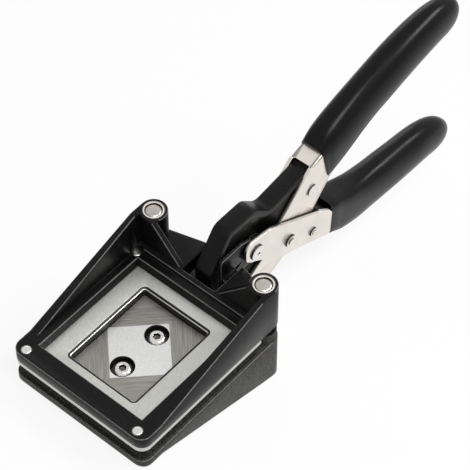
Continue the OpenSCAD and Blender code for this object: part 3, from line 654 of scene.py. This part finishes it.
def rivet_tree():
    """A low domed rivet on each point of the source, hanging from it."""
    tree, start, end = node_tree("rivets", ["Radius", "Length", "Dome"])
    shank = tree.nodes.new("GeometryNodeMeshCylinder")
    shank.inputs["Vertices"].default_value = 40
    shift = tree.nodes.new("GeometryNodeTransform")
    drop = tree.nodes.new("ShaderNodeCombineXYZ")
    dome = tree.nodes.new("GeometryNodeMeshUVSphere")
    dome.inputs["Segments"].default_value = 40
    dome.inputs["Rings"].default_value = 16
    flatten = tree.nodes.new("GeometryNodeTransform")
    size = tree.nodes.new("ShaderNodeCombineXYZ")
    size.inputs["X"].default_value = 0.97
    size.inputs["Y"].default_value = 0.97
    join = tree.nodes.new("GeometryNodeJoinGeometry")
    scatter = tree.nodes.new("GeometryNodeInstanceOnPoints")
    link = tree.links.new
    link(start.outputs["Radius"], shank.inputs["Radius"])
    link(start.outputs["Length"], shank.inputs["Depth"])
    link(maths(tree, "MULTIPLY", start.outputs["Length"], -0.5), drop.inputs["Z"])
    link(shank.outputs["Mesh"], shift.inputs["Geometry"])
    link(drop.outputs["Vector"], shift.inputs["Translation"])
    link(start.outputs["Radius"], dome.inputs["Radius"])
    link(maths(tree, "DIVIDE", start.outputs["Dome"], start.outputs["Radius"]), size.inputs["Z"])
    link(dome.outputs["Mesh"], flatten.inputs["Geometry"])
    link(size.outputs["Vector"], flatten.inputs["Scale"])
    link(shift.outputs["Geometry"], join.inputs["Geometry"])
    link(flatten.outputs["Geometry"], join.inputs["Geometry"])
    link(start.outputs["Geometry"], scatter.inputs["Points"])
    link(join.outputs["Geometry"], scatter.inputs["Instance"])
    end_tree(tree, scatter.outputs["Instances"], bright_steel, end)
    return tree


def die_rivets():
    """The four bright rivets round the die, from the jaw's rail down through the plate."""
    rail_top = 4.3
    sizes = {"Radius": 2.0, "Length": rail_top - span("die_rivets")[0].z, "Dome": 0.3}
    points = bpy.data.meshes.new("rivet_points")
    places = [(side * RIVET_X, y, rail_top) for side in (-1, 1) for y in (RIVET_FRONT, RIVET_REAR)]
    points.from_pydata(places, [], [])
    mesh = grown("die_rivet_heads", rivet_tree(), points, sizes)
    mesh.transform(JAW)
    mesh.shade_smooth()
    mesh.set_sharp_from_angle(angle=math.radians(40))
    piece("die_rivet_heads", mesh, "jaw", [bright_steel], "die_rivets")


# The handles.
def channel_bend(x, y, z):
    """True on the two upper edges along the channel's web."""
    front, height, slope = 101.4, 21.5, 0.3
    outside = abs(x) > CHANNEL_OUT - 0.1
    return outside and y > front + 0.35 and z > height + slope * (y - front)


def handles():
    """The upper handle's channel, and the lower handle's two plates and core."""
    # The channel's bends take the darker nickel, a painted dark reflection.
    soft_edged("upper_handle", "handle_channel", "base", [nickel_plate, bend_painted_reflection_nickel], 0.2,
               bend=channel_bend, bend_r=1.45)
    for word in ("left", "right"):
        soft_edged("lever_plate_" + word, "lever_cheek_" + word, "lower_handle",
                   [lever_nickel_painted_shadow], 0.3)
    soft_edged("lever_core", "lever_tongue", "lower_handle", [black_enamel], 0.3)


def smooth_through(stations, steps):
    """Points on a smooth curve through the stations, all their values together."""
    out = []
    for i in range(len(stations) - 1):
        p0 = stations[max(i - 1, 0)]
        p1, p2 = stations[i], stations[i + 1]
        p3 = stations[min(i + 2, len(stations) - 1)]
        for s in range(steps):
            t = s / steps
            out.append([
                0.5 * (2 * b + (c - a) * t + (2 * a - 5 * b + 4 * c - d) * t * t
                       + (3 * b - a - 3 * c + d) * t ** 3)
                for a, b, c, d in zip(p0, p1, p2, p3)
            ])
    out.append(list(stations[-1]))
    return out


def oval(half_w, half_h, power, sides):
    """Points of a rounded oval; a higher power is boxier."""
    out = []
    for k in range(sides):
        a = 2 * math.pi * k / sides
        c, s = math.cos(a), math.sin(a)
        across = half_w * math.copysign(abs(c) ** (2 / power), c)
        out.append((across, half_h * math.copysign(abs(s) ** (2 / power), s)))
    return out


# Stations along the grips: y, z, half height, half width, boxiness.
UPPER_GRIP = [
    [104, 12.7, 11.2, 6.6, 3.8], [111.8, 16.6, 11.6, 6.9, 3.6], [117, 19.2, 12.1, 7.5, 3.0],
    [124, 22.5, 12.4, 8.1, 2.5], [133, 26, 12.1, 8.1, 2.3], [142, 28.9, 12, 8, 2.2],
    [152, 31.4, 12, 8, 2.2], [162, 33.8, 11.9, 8, 2.2], [172, 35.7, 11.7, 7.8, 2.2],
    [182, 36.9, 11.3, 7.5, 2.2], [190, 37.1, 10.7, 7.1, 2.2], [196.5, 36.2, 9.8, 6.5, 2.2],
    [201.4, 34.9, 8, 5.4, 2.2], [204.2, 33.9, 5.4, 3.8, 2.1], [205.6, 33.4, 2.4, 1.8, 2],
]
LOWER_GRIP = [
    [105, -16.6, 8.6, 7.8, 6.5], [111.6, -20.2, 9, 7.9, 6.0], [116, -22.5, 9.4, 7.9, 5.4],
    [121, -25.2, 10, 7.8, 4.4], [127, -28.2, 10.7, 7.8, 4.0], [137, -31.7, 11.3, 7.7, 3.1],
    [148, -33.6, 11.4, 7.6, 2.6], [160, -35.1, 11.4, 7.6, 2.4], [171, -36.5, 11.4, 7.6, 2.2],
    [182, -37.6, 11.0, 7.4, 2.2], [190, -39.1, 10.4, 7, 2.2], [196.6, -41.4, 9.4, 6.5, 2.2],
    [201.8, -43.9, 7.6, 5.4, 2.2], [205.2, -45.8, 5.2, 3.8, 2.1], [206.5, -46.6, 2.3, 1.8, 2],
]
# Two points, y and z, on the slanting plane of each grip's mouth.
UPPER_MOUTH = ((115.5, 0), (105.8, 40))
LOWER_MOUTH = ((113.8, -40), (116.4, 0))


def grip_rings(stations):
    """Rings square to a smooth run through the stations, and the way that the run goes at each."""
    steps, sides = 5, 48
    path = smooth_through(stations, steps)
    rings, runs = [], []
    for i, (y, z, half_h, half_w, power) in enumerate(path):
        a, b = path[max(i - 1, 0)], path[min(i + 1, len(path) - 1)]
        along = Vector((0, b[0] - a[0], b[1] - a[1])).normalized()
        up = Vector((0, -along.z, along.y))
        shape = oval(half_w, half_h, power, sides)
        rings.append([Vector((u, y + up.y * v, z + up.z * v)) for u, v in shape])
        runs.append(along)
    return rings, runs


def cut_mouth(rings, runs, mouth):
    """Pushes what lies before the mouth's plane up to it, each ring a little further than the last."""
    ring_step = 0.5
    low, high = (Vector((0, *point)) for point in mouth)
    line = (high - low).normalized()
    square = Vector((0, line.z, -line.y))
    for i, (ring, along) in enumerate(zip(rings, runs)):
        for point in ring:
            short = ring_step * i - (point - low).dot(square)
            if short > 0:
                point += along * (short / along.dot(square))


def grip(name, stations, mouth, body, node):
    """A vinyl sleeve lofted through stations, with a rolled lip at its mouth."""
    rings, runs = grip_rings(stations)
    cut_mouth(rings, runs, mouth)
    first = rings[0]
    middle = sum(first, Vector((0, 0, 0))) / len(first)
    ahead = (rings[1][0] - rings[0][0]).normalized()
    lip = [[middle + (point - middle) * share + ahead * depth for point in first]
           for share, depth in ((0.8, 3), (0.82, -0.1), (0.94, -0.35))]
    verts, faces = skin(lip + rings)
    piece(name, mesh_of(name, verts, faces, 60), body, [black_vinyl], node)


# The turned pieces.
def turned(name, profile, place):
    """A mesh turned on a lathe from [radius, distance] pairs, set in the jaw's frame by place."""
    segments = 56
    turns = [2 * math.pi * k / segments for k in range(segments)]
    rings = [[place(radius * math.cos(a), radius * math.sin(a), distance) for a in turns]
             for radius, distance in profile]
    verts, faces = skin(rings)
    return mesh_of(name, verts, faces, 35)


# Heads from their necks outwards: radius, and height over the sheet.
NOSE_HEAD = [(2.5, -2), (3.7, 0), (3.8, 0.35), (3.6, 0.8), (3.0, 1.15), (2.2, 1.32), (0.9, 1.36),
             (0.75, 1.2), (0.6, 0.7)]
PIVOT_HEAD = [(2.6, -2), (2.6, 0), (2.8, 0.1), (2.8, 0.55), (2.65, 0.68), (1.8, 0.7), (1.75, 0.75),
              (1.75, 1.15), (1.55, 1.3)]
CHANNEL_HEAD = [(2.2, -1), (2.75, 0), (2.75, 0.45), (2.5, 0.56), (1.4, 0.6)]
TONGUE_HEAD = [(2.0, -1), (2.1, 0), (2.1, 0.45), (1.95, 0.55), (1.3, 0.56), (1.25, 0.8), (1.0, 0.9)]


def flank_shade(middle, normal):
    """The flanks of a head get a painted dark reflection and its face stays bright."""
    return 1 if abs(normal.x) < 0.6 else 0


def pin(name, node, head, sheet, body, material):
    """A pin across the handles, with a head on both outer faces of the sheet."""
    centre = middle_of(node)
    right = [(radius, sheet + rise) for radius, rise in head]
    left = [(radius, -distance) for radius, distance in reversed(right)]
    mesh = turned(name, left + right, lambda u, v, distance: (distance, centre.y + u, centre.z + v))
    obj = piece(name, mesh, body, [material], node)
    repaint(obj, [head_flank_painted_reflection_steel], flank_shade)


def post(side, word):
    """A guide post with a collar on top."""
    name, node = "post_" + word, "guide_post_" + word
    foot, top = (corner.z for corner in span(node))
    profile = [
        (2.6, foot + 0.2), (3.0, foot + 0.6), (3.0, top - 1.7), (3.35, top - 1.4), (3.35, top - 0.5),
        (3.25, top - 0.25), (2.9, top - 0.05), (2.7, top),
    ]
    mesh = turned(name, profile, lambda u, v, distance: (side * POST.x + u, POST.y + v, distance))
    piece(name, mesh, "base", [post_nickel], node)


def bush(side, word):
    """A guide bush with painted shade in its bore."""
    obj = soft_edged("guide_bush_" + word, "bush_" + word, "jaw", [nickel_plate], 0.12)
    bore_r, rim = 3.87, span("guide_post_" + word)[1].z

    def bore_shade(middle, normal):
        """The bore below its rim gets painted shade."""
        within = math.hypot(middle.x - side * POST.x, middle.y - POST.y) < bore_r
        return 1 if within and middle.z < rim else 0

    repaint(obj, [bore_painted_shade_steel], bore_shade)


# The studio.
def stage():
    """A plain pale floor that still takes the object's shadow."""
    reach, drop, white_share = 6.0, 0.0005, 0.88
    mesh = bpy.data.meshes.new("floor")
    corners = [(-reach, -reach, 0), (reach, -reach, 0), (reach, reach, 0), (-reach, reach, 0)]
    mesh.from_pydata(corners, [], [(0, 1, 2, 3)])
    floor = bpy.data.objects.new("floor", mesh)
    bpy.context.scene.collection.objects.link(floor)
    floor.location.z = -drop
    material, tree, shader = finish("pale_floor", grey(0.93), roughness=0.9, ior=1.5)
    glow = tree.nodes.new("ShaderNodeEmission")
    glow.inputs["Color"].default_value = (1, 1, 1, 1)
    glow.inputs["Strength"].default_value = 1.0
    rays = tree.nodes.new("ShaderNodeLightPath")
    seen = maths(tree, "MAXIMUM", rays.outputs["Is Camera Ray"], rays.outputs["Is Glossy Ray"])
    mix = tree.nodes.new("ShaderNodeMixShader")
    link = tree.links.new
    link(maths(tree, "MULTIPLY", seen, white_share), mix.inputs["Fac"])
    link(shader.outputs["BSDF"], mix.inputs[1])
    link(glow.outputs["Emission"], mix.inputs[2])
    link(mix.outputs["Shader"], tree.nodes["Material Output"].inputs["Surface"])
    mesh.materials.append(material)


def surroundings():
    """A studio that is dimmer towards the horizon, fuller in metal, and plain white where seen directly."""
    horizon, overhead, dull_share = 0.6, 0.8, 0.35
    world = bpy.data.worlds.new("studio")
    bpy.context.scene.world = world
    world.use_nodes = True
    tree = world.node_tree
    room = tree.nodes["Background"]
    room.inputs["Color"].default_value = (1, 1, 1, 1)
    white = tree.nodes.new("ShaderNodeBackground")
    white.inputs["Color"].default_value = (1, 1, 1, 1)
    white.inputs["Strength"].default_value = 1.0
    place = tree.nodes.new("ShaderNodeTexCoord")
    split = tree.nodes.new("ShaderNodeSeparateXYZ")
    fade = tree.nodes.new("ShaderNodeMapRange")
    fade.inputs["From Max"].default_value = 0.5
    fade.inputs["To Min"].default_value = horizon
    fade.inputs["To Max"].default_value = overhead
    rays = tree.nodes.new("ShaderNodeLightPath")
    shiny = maths(tree, "MULTIPLY_ADD", rays.outputs["Is Glossy Ray"], 1 - dull_share, dull_share)
    seen = maths(tree, "MAXIMUM", rays.outputs["Is Camera Ray"], rays.outputs["Is Transmission Ray"])
    mix = tree.nodes.new("ShaderNodeMixShader")
    link = tree.links.new
    link(place.outputs["Generated"], split.inputs["Vector"])
    link(split.outputs["Z"], fade.inputs["Value"])
    link(maths(tree, "MULTIPLY", fade.outputs["Result"], shiny), room.inputs["Strength"])
    link(seen, mix.inputs["Fac"])
    link(room.outputs["Background"], mix.inputs[1])
    link(white.outputs["Background"], mix.inputs[2])
    link(mix.outputs["Shader"], tree.nodes["World Output"].inputs["Surface"])


def softbox(name, place, target, size, power):
    """A rectangular studio light aimed at a point."""
    data = bpy.data.lights.new(name, "AREA")
    data.shape = "RECTANGLE"
    data.size, data.size_y = size
    data.energy = power
    obj = bpy.data.objects.new(name, data)
    bpy.context.scene.collection.objects.link(obj)
    obj.location = place
    obj.rotation_euler = (Vector(target) - Vector(place)).to_track_quat("-Z", "Y").to_euler()


def camera():
    """The photograph's camera, fitted to the die opening in the jaw's frame."""
    data = bpy.data.cameras.new("photo_camera")
    data.lens = 173.7
    data.sensor_width = 36
    data.clip_end = 50
    obj = bpy.data.objects.new("photo_camera", data)
    bpy.context.scene.collection.objects.link(obj)
    turn = Matrix.Rotation(TILT, 3, "X")
    right = turn @ Vector((0.7590, 0.6511, 0))
    up = turn @ Vector((-0.5068, 0.5907, 0.6279))
    back = turn @ Vector((0.4088, -0.4766, 0.7783))
    eye = at(382.7, -386.6, 742.5)
    look = Matrix((right, up, back)).transposed().to_4x4()
    obj.matrix_world = Matrix.Translation(eye) @ look
    bpy.context.scene.camera = obj


# The pieces, from the castings to the pins.
base_casting()
jaw_casting()
die()
handles()
punch_screws()
punch()
grip("upper_sleeve", UPPER_GRIP, UPPER_MOUTH, "base", "upper_grip")
grip("lower_sleeve", LOWER_GRIP, LOWER_MOUTH, "lower_handle", "lower_grip")
foam_pad()
coil = coil_tree()
for side, word in SIDES:
    return_spring(coil, word)
die_rivets()
pin("nose_pin_heads", "nose_pin", NOSE_HEAD, LEVER_OUT, "lower_handle", bright_steel)
pin("pivot_heads", "pivot_pin", PIVOT_HEAD, LEVER_OUT, "base", nickel_plate)
pin("channel_rivet_heads", "handle_rivet", CHANNEL_HEAD, CHANNEL_OUT, "base", nickel_plate)
pin("tongue_rivet_heads", "core_rivet_pin", TONGUE_HEAD, LEVER_OUT, "lower_handle", nickel_plate)
for side, word in SIDES:
    post(side, word)
    bush(side, word)
nodes["frame_rivets"].data.materials.clear()
nodes["frame_rivets"].data.materials.append(nickel_plate)

# The studio round them, in metres of the row frame.
stage()
surroundings()
softbox("near_box", place=(0.42, -0.28, 1.12), target=(0, 0.11, 0.04), size=(0.45, 0.3), power=5.4)
softbox("far_box", place=(0.55, 0.64, 1.05), target=(0, 0.2, 0.06), size=(0.75, 0.3), power=8.8)
softbox("side_box", place=(-0.8, 0.7, 0.5), target=(0, 0.08, 0.05), size=(0.5, 0.5), power=1.2)
camera()
bpy.context.scene.view_settings.view_transform = "Standard"
